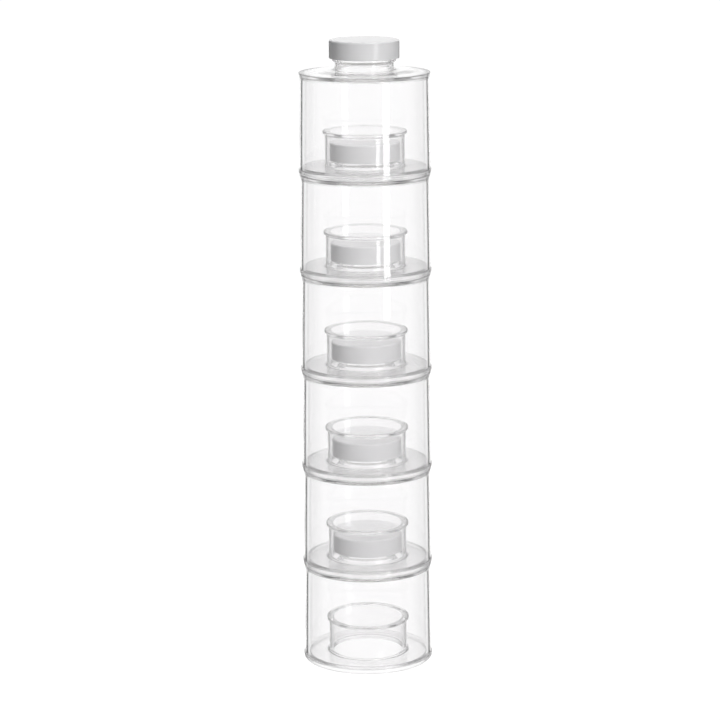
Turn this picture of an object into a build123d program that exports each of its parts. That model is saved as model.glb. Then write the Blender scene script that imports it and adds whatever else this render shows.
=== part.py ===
"""Formula dispenser: a stacking tower of clear round jars with white screw caps.

Each jar is a moulded shell with a threaded neck, a base that plugs into the shell's open
bottom, a screw cap and a sealing disc inside the cap. The base has a well moulded up into
it, which takes the cap of the jar below. Millimetres, +Z up, origin at the centre of the
bottom jar's foot. Heights in the outlines are above the foot of the jar they belong to.
"""

from build123d import *
import os

# Driving dimensions
JAR_COUNT = 6
PITCH = 51.4  # from one jar's foot to the next jar's foot
STACK_GAP = 0.05  # between a jar's foot and the shoulder it stands on
WALL = 1.6
SIDE_WALL = 1.2  # the tall side wall is thinner than the rest
FIT_GAP = 0.05  # at each face of the liner

# Shell
SHELL_R_BOTTOM = 33.35
SHELL_R_TOP = 32.65
LIP_R = 33.45
LIP_HEIGHT = 3.0
LAND_R = 30.4  # inner edge of the flat land that carries the jar above
DOME_R = 24.0  # where the shoulder bends from its slope to its nearly flat middle
DOME_RISE = 1.25
DOME_FALL = 0.2  # of the dome's nearly flat middle, from the neck out to the bend
SHOULDER_Z = PITCH - STACK_GAP

# Base
FLANGE_R = 33.8
FLANGE_Z = 2.6  # top of the flange, where the shell's edge sits
FLANGE_LOW_Z = 0.9  # where the flange starts to draw in to the foot
FOOT_R_INNER = 30.7
FOOT_R_OUTER = 33.2
FLOOR_Z = 2.2  # underside of the floor plate
PLUG_GAP = 0.1  # between the floor plate's edge and the shell round it
WELL_R = 18.8  # bore that takes a cap
WELL_WALL = 1.65
WELL_TOP_Z = 21.8
WELL_RIM_R = 21.5
WELL_RIM_THICK = 1.2
WELL_RIM_FLARE = 0.6

# Neck
BORE_R = 13.3
WAIST_R = BORE_R + WALL
WAIST_TOP_Z = 56.0
BEAD_R = 16.3
BEAD_BOTTOM_Z = 57.3
BEAD_TOP_Z = 58.2
NECK_R = 15.2  # outside of the neck at the root of its thread
MOUTH_Z = 65.0

# Cap and liner
CAP_R = 17.9
CAP_BORE_R = 16.45
CAP_BOTTOM_Z = 58.4
CAP_TOP_Z = 67.6
LINER_R = 16.1
LINER_THICK = 1.0

# Screw thread, right-handed, the same pitch on the neck and in the cap
THREAD_PITCH = 3.175
THREAD_TURNS = 1.25
THREAD_START_Z = 59.6
THREAD_ROOT_WIDTH = 1.5
THREAD_CREST_WIDTH = 0.7
THREAD_EMBED = 0.3  # how far a thread's root runs into its wall
NECK_THREAD_CREST_R = 16.15
CAP_THREAD_CREST_R = 15.45
CAP_THREAD_TURN_DEG = 180  # half a turn round, so each thread lies midway in the other


def section_plane(foot_z):
    """Upright plane whose x is the radius and whose y is the height above a jar's foot."""
    return Plane(origin=(0, 0, foot_z), x_dir=(1, 0, 0), z_dir=(0, -1, 0))


def split_corners(corners):
    """Separate (radius, height, rounding) corners into points and their roundings."""
    points = [(radius, height) for radius, height, _ in corners]
    roundings = [rounding for _, _, rounding in corners]
    return points, roundings


def make_thread(foot_z, wall_r, crest_r):
    """One helical rib on a wall, standing out of it or into it to the crest radius."""
    crest = crest_r - wall_r
    flank_slope = (THREAD_ROOT_WIDTH - THREAD_CREST_WIDTH) / 2 / abs(crest)
    anchor = THREAD_EMBED if crest < 0 else -THREAD_EMBED
    half_anchor = THREAD_ROOT_WIDTH / 2 + flank_slope * THREAD_EMBED
    half_crest = THREAD_CREST_WIDTH / 2
    with BuildPart() as thread:
        with BuildLine() as path:
            Helix(
                pitch=THREAD_PITCH,
                height=THREAD_TURNS * THREAD_PITCH,
                radius=wall_r,
                center=(0, 0, foot_z + THREAD_START_Z),
            )
        with BuildSketch(Plane(path.line @ 0, x_dir=(1, 0, 0), z_dir=path.line % 0)):
            with BuildLine():
                Polyline(
                    (anchor, -half_anchor),
                    (crest, -half_crest),
                    (crest, half_crest),
                    (anchor, half_anchor),
                    close=True,
                )
            make_face()
        sweep(path=path.line, is_frenet=True)
    return thread.part


def make_shell(foot_z):
    """Side wall with its lip, domed shoulder and neck, open at the bottom."""
    dome_top = SHOULDER_Z + DOME_RISE
    outline = [
        (SHELL_R_BOTTOM, FLANGE_Z, 0.35),
        (SHELL_R_TOP, SHOULDER_Z - LIP_HEIGHT, 4.0),
        (LIP_R, SHOULDER_Z, 0.4),
        (LAND_R, SHOULDER_Z, 1.0),
        (DOME_R, dome_top - DOME_FALL, 40.0),
        (WAIST_R, dome_top, 2.2),
        (WAIST_R, WAIST_TOP_Z, 1.5),
        (BEAD_R, BEAD_BOTTOM_Z, 0.3),
        (BEAD_R, BEAD_TOP_Z, 0.3),
        (NECK_R, BEAD_TOP_Z, 0.2),
        (NECK_R, MOUTH_Z, 0.4),
        (BORE_R, MOUTH_Z, 0.4),
        (BORE_R, dome_top - WALL, 1.8),
        (DOME_R, dome_top - WALL - DOME_FALL, 40.0),
        (LAND_R, SHOULDER_Z - WALL, 2.0),
        (SHELL_R_TOP - SIDE_WALL, SHOULDER_Z - WALL, 0.4),
        (SHELL_R_BOTTOM - SIDE_WALL, FLANGE_Z, 0.2),
    ]
    points, roundings = split_corners(outline)
    with BuildPart() as shell:
        with BuildSketch(section_plane(foot_z)):
            with BuildLine():
                FilletPolyline(points, radius=roundings, close=True)
            make_face()
        revolve(axis=Axis.Z)
        add(make_thread(foot_z, NECK_R, NECK_THREAD_CREST_R))
    return shell.part


def make_base(foot_z):
    """Foot ring, flange and floor plate, with the well moulded up in the middle."""
    well_r_outer = WELL_R + WELL_WALL
    plug_r = SHELL_R_BOTTOM - SIDE_WALL - PLUG_GAP
    outline = [
        (0, WELL_TOP_Z, 0),
        (WELL_RIM_R, WELL_TOP_Z, 0.35),
        (WELL_RIM_R, WELL_TOP_Z - WELL_RIM_THICK, 0.35),
        (well_r_outer, WELL_TOP_Z - WELL_RIM_THICK - WELL_RIM_FLARE, 0.6),
        (well_r_outer, FLOOR_Z + WALL, 1.5),
        (plug_r, FLOOR_Z + WALL, 0.3),
        (plug_r, FLANGE_Z, 0),
        (FLANGE_R, FLANGE_Z, 0.5),
        (FLANGE_R, FLANGE_LOW_Z, 0.6),
        (FOOT_R_OUTER, 0, 0.45),
        (FOOT_R_INNER, 0, 0.3),
        (FOOT_R_INNER, FLOOR_Z, 0.4),
        (WELL_R, FLOOR_Z, 0.9),
        (WELL_R, WELL_TOP_Z - WALL, 1.0),
        (0, WELL_TOP_Z - WALL, 0),
    ]
    points, roundings = split_corners(outline)
    with BuildPart() as base:
        with BuildSketch(section_plane(foot_z)):
            with BuildLine():
                FilletPolyline(points, radius=roundings, close=True)
            make_face()
        revolve(axis=Axis.Z)
    return base.part


def make_cap(foot_z):
    """Smooth round screw cap with a flat top and one thread inside."""
    ceiling_z = MOUTH_Z + 2 * FIT_GAP + LINER_THICK
    outline = [
        (0, CAP_TOP_Z, 0),
        (CAP_R, CAP_TOP_Z, 0.9),
        (CAP_R, CAP_BOTTOM_Z, 0.25),
        (CAP_BORE_R, CAP_BOTTOM_Z, 0.4),
        (CAP_BORE_R, ceiling_z, 0.3),
        (0, ceiling_z, 0),
    ]
    points, roundings = split_corners(outline)
    with BuildPart() as cap:
        with BuildSketch(section_plane(foot_z)):
            with BuildLine():
                FilletPolyline(points, radius=roundings, close=True)
            make_face()
        revolve(axis=Axis.Z)
        add(
            make_thread(foot_z, CAP_BORE_R, CAP_THREAD_CREST_R),
            rotation=(0, 0, CAP_THREAD_TURN_DEG),
        )
    return cap.part


def make_cap_liner(foot_z):
    """Flat sealing disc between the cap's ceiling and the neck's mouth."""
    with BuildPart() as liner:
        with BuildSketch(Plane.XY.offset(foot_z + MOUTH_Z + FIT_GAP)):
            Circle(LINER_R)
        extrude(amount=LINER_THICK)
        chamfer(liner.edges(), length=0.15)
    return liner.part


PIECES = {
    "body": make_shell,
    "base": make_base,
    "cap": make_cap,
    "cap_liner": make_cap_liner,
}

os.makedirs("parts", exist_ok=True)
for jar in range(JAR_COUNT):
    for piece_name, make_piece in PIECES.items():
        piece = make_piece(jar * PITCH)
        piece.label = f"jar_{jar + 1}_{piece_name}"
        export_step(piece, f"parts/{piece.label}.step")
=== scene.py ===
"""Looks of a stacking tower of clear jars with white screw caps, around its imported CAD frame.

Every piece is turned from the same outline as its CAD node, at the resolution that clear
plastic needs, with the screw threads raised on it. Metres, +Z up.
"""

import math

import bmesh
import bpy
from mathutils import Matrix, Vector


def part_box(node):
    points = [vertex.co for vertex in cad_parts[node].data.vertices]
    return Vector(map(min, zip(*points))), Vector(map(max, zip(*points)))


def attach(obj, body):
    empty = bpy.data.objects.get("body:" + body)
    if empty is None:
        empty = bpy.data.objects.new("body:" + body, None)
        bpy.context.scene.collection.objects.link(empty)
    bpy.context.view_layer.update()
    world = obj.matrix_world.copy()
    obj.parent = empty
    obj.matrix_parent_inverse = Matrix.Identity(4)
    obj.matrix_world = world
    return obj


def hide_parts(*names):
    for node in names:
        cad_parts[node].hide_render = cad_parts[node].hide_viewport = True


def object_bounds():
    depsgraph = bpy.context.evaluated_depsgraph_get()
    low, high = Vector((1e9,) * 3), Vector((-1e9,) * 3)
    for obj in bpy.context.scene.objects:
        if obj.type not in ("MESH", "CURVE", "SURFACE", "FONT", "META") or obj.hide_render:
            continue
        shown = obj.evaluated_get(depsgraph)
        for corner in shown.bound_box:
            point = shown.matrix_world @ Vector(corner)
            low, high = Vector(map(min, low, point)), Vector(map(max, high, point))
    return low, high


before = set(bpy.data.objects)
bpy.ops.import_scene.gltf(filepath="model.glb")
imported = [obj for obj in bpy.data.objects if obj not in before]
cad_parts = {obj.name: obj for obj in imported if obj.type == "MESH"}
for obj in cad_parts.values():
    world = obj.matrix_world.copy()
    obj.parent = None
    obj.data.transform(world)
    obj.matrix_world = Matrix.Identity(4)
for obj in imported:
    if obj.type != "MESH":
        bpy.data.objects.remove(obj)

CAD_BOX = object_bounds()
MM = 0.001

# How finely the round pieces are turned
SEGMENTS = 192
ARC_STEP = math.radians(9)
THREAD_STEP = 0.14 * MM

# Steps over which a thread's slopes are measured, and how far off a wall or the axis still counts
SLOPE_ANGLE = 0.002
SLOPE_HEIGHT = 0.01 * MM
WALL_TOLERANCE = 1e-7
AXIS_TOLERANCE = 1e-9

# The tower, read from the frame
JAR_COUNT = sum(name.endswith("_base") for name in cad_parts)
FOOT_Z = [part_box(f"jar_{n}_base")[0].z for n in range(1, JAR_COUNT + 1)]
PITCH = FOOT_Z[1] - FOOT_Z[0]
TOWER_TOP = CAD_BOX[1].z

# Moulded sizes, the same as the CAD solids'. Heights are above a jar's foot
WALL = 1.6 * MM
SIDE_WALL = 1.2 * MM
FIT_GAP = 0.05 * MM
STACK_GAP = 0.05 * MM
SHOULDER_Z = PITCH - STACK_GAP
SHELL_R_BOTTOM = 33.35 * MM
SHELL_R_TOP = 32.65 * MM
LIP_R = 33.45 * MM
LIP_HEIGHT = 3.0 * MM
LAND_R = 30.4 * MM
DOME_R = 24.0 * MM
DOME_RISE = 1.25 * MM
DOME_FALL = 0.2 * MM
FLANGE_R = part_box("jar_1_base")[1].x
FLANGE_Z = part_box("jar_1_body")[0].z - FOOT_Z[0]
FOOT_R_INNER = 30.7 * MM
FOOT_R_OUTER = 33.2 * MM
FLANGE_LOW_Z = 0.9 * MM
FLOOR_Z = 2.2 * MM
FLOOR_TOP_Z = FLOOR_Z + WALL
WELL_R = 18.8 * MM
WELL_WALL = 1.65 * MM
WELL_TOP_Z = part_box("jar_1_base")[1].z - FOOT_Z[0]
WELL_RIM_R = 21.5 * MM
WELL_RIM_THICK = 1.2 * MM
WELL_RIM_FLARE = 0.6 * MM
PLUG_GAP = 0.1 * MM
BORE_R = 13.3 * MM
WAIST_R = BORE_R + WALL
WAIST_TOP_Z = 56.0 * MM
BEAD_R = 16.3 * MM
BEAD_BOTTOM_Z = 57.3 * MM
BEAD_TOP_Z = 58.2 * MM
NECK_R = 15.2 * MM
MOUTH_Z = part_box("jar_1_body")[1].z - FOOT_Z[0]
CAP_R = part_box("jar_1_cap")[1].x
CAP_BORE_R = 16.45 * MM
CAP_BOTTOM_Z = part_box("jar_1_cap")[0].z - FOOT_Z[0]
CAP_TOP_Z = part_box("jar_1_cap")[1].z - FOOT_Z[0]
LINER_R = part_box("jar_1_cap_liner")[1].x
LINER_THICK = 1.0 * MM

# Screw thread
THREAD_PITCH = 3.175 * MM
THREAD_TURNS = 1.25
THREAD_START_Z = 59.6 * MM
THREAD_ROOT_HALF = 0.75 * MM
THREAD_CREST_HALF = 0.35 * MM
NECK_THREAD_DEPTH = 0.95 * MM
CAP_THREAD_DEPTH = 1.0 * MM
THREAD_FADE_TURNS = 0.07

# The threads start half a turn apart, so that each lies midway in the other
NECK_THREAD_ANGLE = 0.0
CAP_THREAD_ANGLE = math.pi

# Satin texture on the base's ring and floor and on the shell's lip
SATIN_ROUGHNESS = 0.15
SATIN_EDGE = 0.4 * MM

# Camera, as a person stands before the tower
CAMERA_DISTANCE = 1.304
CAMERA_HEIGHT = 0.448
CAMERA_TILT = math.radians(12.48)
CAMERA_YAW = math.radians(0.142)
CAMERA_ROLL = math.radians(-0.42)
CAMERA_LENS = 129.2

# Table top and studio wall
FLOOR_SIDES = 128
FLOOR_RADIUS = 0.42
FLOOR_DROP = 0.02 * MM
FLOOR_GLOW = 1.1
SURROUND_SIDES = 96
SURROUND_RADIUS = 2.0
SURROUND_HALF_HEIGHT = 1.8

# Brightness of the studio wall, by degrees to the right of the point straight behind the tower
SURROUND_GLOW = [
    (-180, 0.8), (-130, 0.9), (-90, 0.85), (-80, 0.65), (-52, 0.55), (-46, 0.9),
    (-38, 0.95), (-33, 0.1), (-25, 0.1), (-22, 1.04),
    (22, 1.04), (25, 0.15), (33, 0.15), (38, 0.95),
    (46, 0.9), (52, 0.6), (75, 0.7), (85, 0.9), (130, 0.85), (180, 0.8),
]

# Past the wall's edges the light goes from dim to bright as its direction gets steeper
WORLD_STEEPNESS = (0.2, 0.5)
WORLD_GLOW = (0.3, 0.75)

# Lamps: name, degrees right of the camera, distance, height, (width, height), radiance
STRIP_LAMP = ("strip", 38, 1.1, 0.9, (0.22, 1.8), 4.2)
CAP_LAMPS = [
    ("key", 32, 1.3, 0.1, (0.7, 0.7), 1.75),
    ("front", 0, 1.4, 0.4, (1.3, 1.3), 1.6),
    ("top", 0, 0.02, 1.3, (0.6, 0.6), 5.2),
    ("bounce", 0, 0.02, -0.8, (1.0, 1.0), 1.6),
    ("back", 180, 1.3, 0.2, (1.0, 1.0), 3.2),
]

# How often light may bounce: it needs two for each clear wall, so 40 take it through 20 walls
CLEAR_BOUNCES = 40
GLOSSY_BOUNCES = 12
DIFFUSE_BOUNCES = 4


# ---------------------------------------------------------------- outlines and turning

def smoothstep(x):
    x = min(max(x, 0.0), 1.0)
    return x * x * (3 - 2 * x)


def rounded_outline(corners, closed):
    """Points of an outline, each with its normal. A corner is (radius, height, rounding)."""
    spots = [Vector((r, z)) for r, z, _ in corners]
    count = len(corners)
    points = []
    for i, corner in enumerate(spots):
        rounding = corners[i][2]
        at_end = not closed and i in (0, count - 1)
        back = (spots[i - 1] - corner).normalized()
        ahead = (spots[(i + 1) % count] - corner).normalized()
        if at_end:
            along = ahead if i == 0 else -back
            points.append((corner, Vector((along.y, -along.x))))
            continue
        if rounding == 0:
            points.append((corner, Vector((-back.y, back.x))))
            points.append((corner, Vector((ahead.y, -ahead.x))))
            continue
        half = back.angle(ahead) / 2
        centre = corner + (back + ahead).normalized() * rounding / math.sin(half)
        start = corner + back * rounding / math.tan(half) - centre
        turn = math.pi - 2 * half
        side = 1 if back.cross(ahead) < 0 else -1
        steps = max(2, math.ceil(turn / ARC_STEP))
        for step in range(steps + 1):
            spoke = start.copy()
            spoke.rotate(Matrix.Rotation(side * turn * step / steps, 2))
            points.append((centre + spoke, side * spoke.normalized()))
    return points


def thread_height(angle, height, first_angle):
    """Share of its full depth, 0 to 1, that a thread has at an angle and a height."""
    turn = ((angle - first_angle) / (2 * math.pi)) % 1.0
    best = 0.0
    while turn <= THREAD_TURNS:
        offset = abs(height - THREAD_START_Z - THREAD_PITCH * turn)
        flank = (THREAD_ROOT_HALF - offset) / (THREAD_ROOT_HALF - THREAD_CREST_HALF)
        run = min(turn, THREAD_TURNS - turn) / THREAD_FADE_TURNS
        best = max(best, smoothstep(flank) * smoothstep(run))
        turn += 1.0
    return best


def thread_slopes(angle, height, first_angle):
    """How fast thread_height changes with angle and with height."""
    by_angle = (
        thread_height(angle + SLOPE_ANGLE, height, first_angle)
        - thread_height(angle - SLOPE_ANGLE, height, first_angle)
    ) / (2 * SLOPE_ANGLE)
    by_height = (
        thread_height(angle, height + SLOPE_HEIGHT, first_angle)
        - thread_height(angle, height - SLOPE_HEIGHT, first_angle)
    ) / (2 * SLOPE_HEIGHT)
    return by_angle, by_height


def on_radius(point, radius):
    return abs(point.x - radius) < WALL_TOLERANCE


def divide_wall(points, wall_r):
    """Adds a point every thread step on the straight wall of that radius."""
    divided = [points[0]]
    for (start, normal), (end, end_normal) in zip(points, points[1:]):
        if on_radius(start, wall_r) and on_radius(end, wall_r):
            steps = max(1, round(abs(end.y - start.y) / THREAD_STEP))
            divided += [(start.lerp(end, step / steps), normal) for step in range(1, steps)]
        divided.append((end, end_normal))
    return divided


def turned_mesh(name, corners, closed, thread=None):
    """Mesh of an outline turned about Z, with exact normals.

    The outline runs anticlockwise, with its radius to the right and its height up. thread is
    (wall radius, depth, first angle): it stands on that straight wall, out of the solid.
    """
    outline = rounded_outline(corners, closed)
    wall_r, depth, first_angle = thread or (0, 0, 0)
    if thread:
        outline = divide_wall(outline, wall_r)
    vertices, normals, rings = [], [], []
    for point, normal in outline:
        on_wall = thread and on_radius(point, wall_r)
        on_axis = point.x < AXIS_TOLERANCE
        ring = []
        for step in range(1 if on_axis else SEGMENTS):
            angle = 2 * math.pi * step / SEGMENTS
            out = Vector((math.cos(angle), math.sin(angle), 0))
            around = Vector((-out.y, out.x, 0))
            radius = point.x
            facing = out * normal.x + Vector((0, 0, normal.y))
            if on_wall:
                raised = thread_height(angle, point.y, first_angle)
                by_angle, by_height = thread_slopes(angle, point.y, first_angle)
                radius += normal.x * depth * raised
                facing -= around * (depth * by_angle / radius)
                facing.z -= depth * by_height
            ring.append(len(vertices))
            vertices.append(out * radius + Vector((0, 0, point.y)))
            normals.append(facing.normalized())
        rings.append(ring)
    pairs = list(zip(rings, rings[1:]))
    if closed:
        pairs.append((rings[-1], rings[0]))
    faces = [face for first, second in pairs for face in bridge(first, second)]
    mesh = bpy.data.meshes.new(name)
    mesh.from_pydata(vertices, [], faces)
    mesh.shade_smooth()
    mesh.normals_split_custom_set_from_vertices(normals)
    return mesh


def bridge(first, second):
    """Faces between two rings of vertices, either of which may be one point on the axis."""
    for i in range(SEGMENTS):
        j = (i + 1) % SEGMENTS
        if len(first) == 1:
            yield first[0], second[j], second[i]
        elif len(second) == 1:
            yield first[i], first[j], second[0]
        else:
            yield first[i], first[j], second[j], second[i]


# ---------------------------------------------------------------- the four pieces of a jar

def shell_mesh():
    dome_top = SHOULDER_Z + DOME_RISE
    corners = [
        (SHELL_R_BOTTOM, FLANGE_Z, 0.35 * MM),
        (SHELL_R_TOP, SHOULDER_Z - LIP_HEIGHT, 4.0 * MM),
        (LIP_R, SHOULDER_Z, 0.4 * MM),
        (LAND_R, SHOULDER_Z, 1.0 * MM),
        (DOME_R, dome_top - DOME_FALL, 40.0 * MM),
        (WAIST_R, dome_top, 2.2 * MM),
        (WAIST_R, WAIST_TOP_Z, 1.5 * MM),
        (BEAD_R, BEAD_BOTTOM_Z, 0.3 * MM),
        (BEAD_R, BEAD_TOP_Z, 0.3 * MM),
        (NECK_R, BEAD_TOP_Z, 0.2 * MM),
        (NECK_R, MOUTH_Z, 0.4 * MM),
        (BORE_R, MOUTH_Z, 0.4 * MM),
        (BORE_R, dome_top - WALL, 1.8 * MM),
        (DOME_R, dome_top - WALL - DOME_FALL, 40.0 * MM),
        (LAND_R, SHOULDER_Z - WALL, 2.0 * MM),
        (SHELL_R_TOP - SIDE_WALL, SHOULDER_Z - WALL, 0.4 * MM),
        (SHELL_R_BOTTOM - SIDE_WALL, FLANGE_Z, 0.2 * MM),
    ]
    thread = (NECK_R, NECK_THREAD_DEPTH, NECK_THREAD_ANGLE)
    return turned_mesh("shell", corners, closed=True, thread=thread)


def base_mesh():
    well_r_outer = WELL_R + WELL_WALL
    plug_r = SHELL_R_BOTTOM - SIDE_WALL - PLUG_GAP
    corners = [
        (0, WELL_TOP_Z - WALL, 0),
        (WELL_R, WELL_TOP_Z - WALL, 1.0 * MM),
        (WELL_R, FLOOR_Z, 0.9 * MM),
        (FOOT_R_INNER, FLOOR_Z, 0.4 * MM),
        (FOOT_R_INNER, 0, 0.3 * MM),
        (FOOT_R_OUTER, 0, 0.45 * MM),
        (FLANGE_R, FLANGE_LOW_Z, 0.6 * MM),
        (FLANGE_R, FLANGE_Z, 0.5 * MM),
        (plug_r, FLANGE_Z, 0.05 * MM),
        (plug_r, FLOOR_TOP_Z, 0.3 * MM),
        (well_r_outer, FLOOR_TOP_Z, 1.5 * MM),
        (well_r_outer, WELL_TOP_Z - WELL_RIM_THICK - WELL_RIM_FLARE, 0.6 * MM),
        (WELL_RIM_R, WELL_TOP_Z - WELL_RIM_THICK, 0.35 * MM),
        (WELL_RIM_R, WELL_TOP_Z, 0.35 * MM),
        (0, WELL_TOP_Z, 0),
    ]
    return turned_mesh("base", corners, closed=False)


def cap_mesh():
    ceiling_z = MOUTH_Z + 2 * FIT_GAP + LINER_THICK
    corners = [
        (0, ceiling_z, 0),
        (CAP_BORE_R, ceiling_z, 0.3 * MM),
        (CAP_BORE_R, CAP_BOTTOM_Z, 0.4 * MM),
        (CAP_R, CAP_BOTTOM_Z, 0.25 * MM),
        (CAP_R, CAP_TOP_Z, 0.9 * MM),
        (0, CAP_TOP_Z, 0),
    ]
    thread = (CAP_BORE_R, CAP_THREAD_DEPTH, CAP_THREAD_ANGLE)
    return turned_mesh("cap", corners, closed=False, thread=thread)


def liner_mesh():
    low = MOUTH_Z + FIT_GAP
    high = low + LINER_THICK
    corners = [
        (0, low, 0),
        (LINER_R, low, 0.15 * MM),
        (LINER_R, high, 0.15 * MM),
        (0, high, 0),
    ]
    return turned_mesh("cap_liner", corners, closed=False)


# ---------------------------------------------------------------- materials

def feed(tree, node, inputs):
    """Sets a node's inputs, each to a value or by a link from another node's output."""
    for key, value in inputs.items():
        if isinstance(value, bpy.types.NodeSocket):
            tree.links.new(value, node.inputs[key])
        else:
            node.inputs[key].default_value = value


def add_node(tree, kind, inputs=None, **settings):
    node = tree.nodes.new(kind)
    for key, value in settings.items():
        setattr(node, key, value)
    feed(tree, node, inputs or {})
    return node


def combine(tree, operation, first, second):
    return add_node(tree, "ShaderNodeMath", {0: first, 1: second}, operation=operation).outputs[0]


def remap(tree, value, span, result=(0, 1)):
    """Runs from one end of result to the other as the value crosses the span, and stops there."""
    inputs = {"Value": value, "From Min": span[0], "From Max": span[1],
              "To Min": result[0], "To Max": result[1]}
    return add_node(tree, "ShaderNodeMapRange", inputs).outputs["Result"]


def noise(tree, place, scale, detail):
    inputs = {"Vector": place, "Scale": scale, "Detail": detail}
    return add_node(tree, "ShaderNodeTexNoise", inputs).outputs["Fac"]


def mixed_colour(tree, share, first, second):
    inputs = {"Factor": share, "A": (*first, 1), "B": (*second, 1)}
    return add_node(tree, "ShaderNodeMix", inputs, data_type="RGBA").outputs["Result"]


def bump(tree, height, strength, distance):
    inputs = {"Height": height, "Strength": strength, "Distance": distance}
    return add_node(tree, "ShaderNodeBump", inputs).outputs["Normal"]


def new_material(name):
    """A material with its tree, its shader and the place on the piece that is shaded."""
    material = bpy.data.materials.new(name)
    material.use_nodes = True
    tree = material.node_tree
    place = add_node(tree, "ShaderNodeTexCoord").outputs["Object"]
    return material, tree, tree.nodes["Principled BSDF"], place


def clear_plastic(name, satin_low, satin_high, satin_r):
    """Polished clear styrene: faint flow waves from moulding and a trace of surface haze.

    Between two heights, outside a radius, the mould's fine texture makes it satin.
    """
    material, tree, shader, place = new_material(name)
    height = add_node(tree, "ShaderNodeSeparateXYZ", {"Vector": place}).outputs["Z"]
    level = add_node(tree, "ShaderNodeVectorMath", {0: place, 1: (1, 1, 0)}, operation="MULTIPLY")
    radius = add_node(tree, "ShaderNodeVectorMath", {0: level.outputs["Vector"]}, operation="LENGTH")
    above = remap(tree, height, (satin_low - SATIN_EDGE, satin_low))
    below = remap(tree, height, (satin_high + SATIN_EDGE, satin_high))
    outside = remap(
        tree, radius.outputs["Value"], (satin_r - SATIN_EDGE, satin_r), (0, SATIN_ROUGHNESS)
    )
    satin = combine(tree, "MULTIPLY", combine(tree, "MULTIPLY", above, below), outside)
    haze = remap(tree, noise(tree, place, scale=260.0, detail=3.0), (0.35, 0.75), (0, 0.03))
    waves = noise(tree, place, scale=45.0, detail=1.0)
    feed(tree, shader, {
        "Base Color": (0.996, 0.993, 0.996, 1),
        "Transmission Weight": 0.98,
        "IOR": 1.55,
        "Roughness": combine(tree, "ADD", haze, satin),
        "Normal": bump(tree, waves, strength=0.06, distance=0.6 * MM),
    })
    return material


def white_plastic():
    """White polypropylene of the caps, semi-gloss, with fine moulding grain."""
    material, tree, shader, place = new_material("white_plastic")
    tone = noise(tree, place, scale=60.0, detail=2.0)
    grain = noise(tree, place, scale=2600.0, detail=2.0)
    feed(tree, shader, {
        "Base Color": mixed_colour(tree, tone, (0.84, 0.835, 0.845), (0.88, 0.875, 0.885)),
        "IOR": 1.49,
        "Roughness": remap(tree, grain, (0, 1), (0.12, 0.2)),
        "Normal": bump(tree, grain, strength=0.08, distance=0.05 * MM),
    })
    return material


def liner_foam():
    """Matt foamed polyethylene of the liners, with tiny cells, each painted darker in its pit as
    shade.
    """
    material, tree, shader, place = new_material("liner_foam")
    cell = add_node(tree, "ShaderNodeTexVoronoi", {"Vector": place, "Scale": 2400.0})
    depth = cell.outputs["Distance"]
    feed(tree, shader, {
        # Painted shade: the colour is darker at the bottom of each cell's pit, where the bump sinks
        # it
        "Base Color": mixed_colour(tree, depth, (0.78, 0.78, 0.75), (0.88, 0.88, 0.86)),
        "Roughness": remap(tree, depth, (0, 1), (0.6, 0.8)),
        "Normal": bump(tree, depth, strength=0.3, distance=0.05 * MM),
    })
    return material


# ---------------------------------------------------------------- the tower

def add_piece(name, mesh, material, foot_z, body, cad_node):
    piece = bpy.data.objects.new(name, mesh)
    bpy.context.scene.collection.objects.link(piece)
    piece.location.z = foot_z
    if not mesh.materials:
        mesh.materials.append(material)
    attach(piece, body)
    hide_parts(cad_node)
    return piece


def add_tower():
    """The jars, which all share the same four meshes.

    No piece shades another from the lamps, and light from the caps passes straight through the
    clear pieces.
    """
    clear_shell = clear_plastic("clear_shell", SHOULDER_Z - LIP_HEIGHT, SHOULDER_Z, LAND_R)
    clear_base = clear_plastic("clear_base", 0, FLOOR_TOP_Z, WELL_R + WELL_WALL)
    white, foam = white_plastic(), liner_foam()
    shell, base, cap, liner = shell_mesh(), base_mesh(), cap_mesh(), liner_mesh()
    for n, foot_z in enumerate(FOOT_Z, start=1):
        jar = f"jar_{n}"
        parts = [
            ("shell", shell, clear_shell, jar, "body", "clear_shell"),
            ("base", base, clear_base, jar, "base", "clear_base"),
            ("cap", cap, white, f"{jar}_screw_cap", "cap", "cap"),
            ("liner", liner, foam, f"{jar}_liner_carrier", "cap_liner", "cap_liner"),
        ]
        for part_name, mesh, material, body, cad_node, slot in parts:
            piece = add_piece(
                f"{part_name}_{n}", mesh, material, foot_z, body, f"{jar}_{cad_node}"
            )
            piece.visible_shadow = False
            piece.visible_diffuse = material not in (clear_shell, clear_base)


# ---------------------------------------------------------------- camera, stage and light

def add_camera():
    data = bpy.data.cameras.new("camera")
    data.lens = CAMERA_LENS
    data.sensor_width = 36.0
    data.clip_start, data.clip_end = 0.01, 20.0
    camera = bpy.data.objects.new("camera", data)
    turn = (
        Matrix.Rotation(CAMERA_YAW, 4, "Z")
        @ Matrix.Rotation(math.pi / 2 - CAMERA_TILT, 4, "X")
        @ Matrix.Rotation(CAMERA_ROLL, 4, "Z")
    )
    camera.matrix_world = Matrix.Translation((0, -CAMERA_DISTANCE, CAMERA_HEIGHT)) @ turn
    bpy.context.scene.collection.objects.link(camera)
    bpy.context.scene.camera = camera
    bpy.context.view_layer.update()
    return camera


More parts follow.
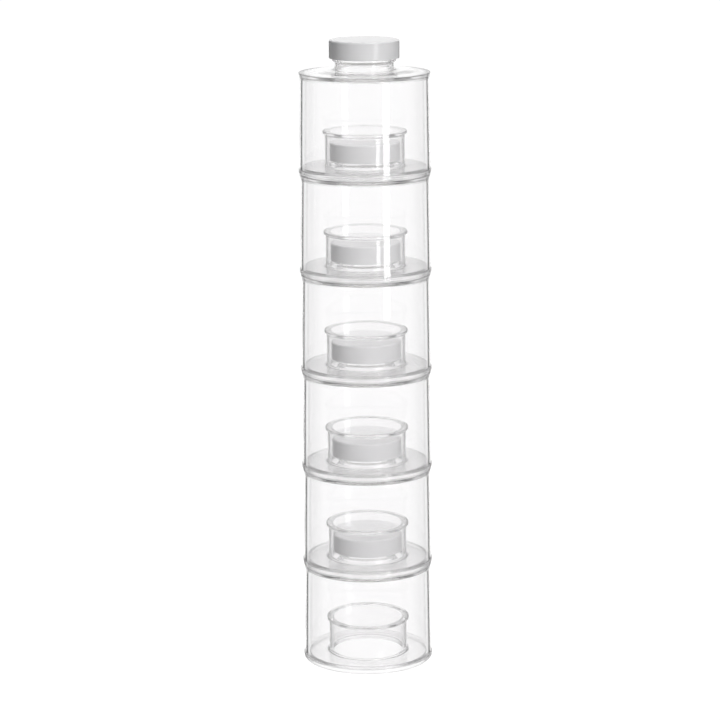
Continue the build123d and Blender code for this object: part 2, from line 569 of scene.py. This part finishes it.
def glow_material(name, strengths):
    """White glow with a strength for each angle, in degrees, from the far side of the tower.

    The first strength is the one at -180 degrees.
    """
    material = bpy.data.materials.new(name)
    material.use_nodes = True
    tree = material.node_tree
    tree.nodes.clear()
    place = add_node(tree, "ShaderNodeTexCoord").outputs["Object"]
    split = add_node(tree, "ShaderNodeSeparateXYZ", {"Vector": place})
    angle = combine(tree, "ARCTAN2", split.outputs["X"], split.outputs["Y"])
    ramp = add_node(tree, "ShaderNodeValToRGB", {"Fac": remap(tree, angle, (-math.pi, math.pi))})
    stops = ramp.color_ramp.elements
    stops.remove(stops[1])
    peak = max(value for _, value in strengths)
    for degrees, value in strengths:
        stop = stops[0] if degrees == -180 else stops.new((degrees + 180) / 360)
        stop.color = (value / peak, value / peak, value / peak, 1)
    glow = add_node(
        tree, "ShaderNodeEmission", {"Color": ramp.outputs["Color"], "Strength": peak}
    )
    add_node(tree, "ShaderNodeOutputMaterial", {"Surface": glow.outputs[0]})
    return material


def add_floor():
    """Round table top, as white as the backdrop, and not seen in or through the plastic."""
    mesh = bpy.data.meshes.new("floor")
    build = bmesh.new()
    bmesh.ops.create_circle(build, cap_ends=True, segments=FLOOR_SIDES, radius=FLOOR_RADIUS)
    build.to_mesh(mesh)
    build.free()
    floor = bpy.data.objects.new("floor", mesh)
    floor.location.z = -FLOOR_DROP
    floor.visible_diffuse = False
    floor.visible_transmission = False
    floor.visible_glossy = False
    floor.visible_shadow = False
    mesh.materials.append(glow_material("floor_white", [(-180, FLOOR_GLOW), (180, FLOOR_GLOW)]))
    bpy.context.scene.collection.objects.link(floor)


def add_surround():
    """Round studio wall: white behind the tower, a dark gap on each side, and grey beyond that."""
    mesh = bpy.data.meshes.new("surround")
    points = []
    for step in range(SURROUND_SIDES):
        angle = 2 * math.pi * step / SURROUND_SIDES
        x, y = SURROUND_RADIUS * math.cos(angle), SURROUND_RADIUS * math.sin(angle)
        points += [(x, y, -SURROUND_HALF_HEIGHT), (x, y, SURROUND_HALF_HEIGHT)]
    count = len(points)
    faces = [(i, i + 1, (i + 3) % count, (i + 2) % count) for i in range(0, count, 2)]
    mesh.from_pydata(points, [], faces)
    surround = bpy.data.objects.new("surround", mesh)
    surround.location.z = TOWER_TOP / 2
    surround.visible_diffuse = False
    mesh.materials.append(glow_material("surround_white", SURROUND_GLOW))
    bpy.context.scene.collection.objects.link(surround)
    return surround


def add_softbox(name, azimuth, distance, height, size, radiance, mirrored=False):
    """A plain area light at an azimuth right of the camera.

    A mirrored one stands upright and shows in the clear plastic. Any other is aimed at the
    tower's axis, lights the white of the caps and is reflected in nothing.
    """
    width, tall = size
    data = bpy.data.lights.new(name, "AREA")
    data.shape = "RECTANGLE"
    data.size, data.size_y = width, tall
    data.energy = radiance * width * tall * math.pi
    lamp = bpy.data.objects.new(name, data)
    angle = math.radians(azimuth)
    lamp.location = (distance * math.sin(angle), -distance * math.cos(angle), height)
    aim_z = height if mirrored else min(max(height, 0), TOWER_TOP)
    lamp.rotation_mode = "QUATERNION"
    lamp.rotation_quaternion = (lamp.location - Vector((0, 0, aim_z))).to_track_quat("Z", "Y")
    lamp.visible_camera = False
    lamp.visible_glossy = mirrored
    lamp.visible_transmission = mirrored
    bpy.context.scene.collection.objects.link(lamp)
    return lamp


def add_studio(camera):
    """The studio hangs on the camera, so the tower is lit and backed the same from every side."""
    rig = [add_surround(), add_softbox(*STRIP_LAMP, mirrored=True)]
    rig += [add_softbox(*lamp) for lamp in CAP_LAMPS]
    bpy.context.view_layer.update()
    for item in rig:
        item.parent = camera
        item.matrix_parent_inverse = camera.matrix_world.inverted()


def set_world():
    world = bpy.data.worlds.new("studio")
    world.use_nodes = True
    tree = world.node_tree
    direction = add_node(tree, "ShaderNodeTexCoord").outputs["Generated"]
    split = add_node(tree, "ShaderNodeSeparateXYZ", {"Vector": direction})
    steepness = add_node(tree, "ShaderNodeMath", {0: split.outputs["Z"]}, operation="ABSOLUTE")
    glow = remap(tree, steepness.outputs[0], WORLD_STEEPNESS, WORLD_GLOW)
    glow.node.interpolation_type = "SMOOTHSTEP"
    feed(tree, tree.nodes["Background"], {"Color": (1, 1, 1, 1), "Strength": glow})
    world.cycles_visibility.diffuse = False
    bpy.context.scene.world = world


def set_light_paths():
    scene = bpy.context.scene
    scene.cycles.max_bounces = CLEAR_BOUNCES
    scene.cycles.transmission_bounces = CLEAR_BOUNCES
    scene.cycles.glossy_bounces = GLOSSY_BOUNCES
    scene.cycles.diffuse_bounces = DIFFUSE_BOUNCES
    scene.cycles.caustics_reflective = False
    scene.cycles.caustics_refractive = False
    scene.view_settings.view_transform = "Standard"


add_tower()
add_floor()
add_studio(add_camera())
set_world()
set_light_paths()
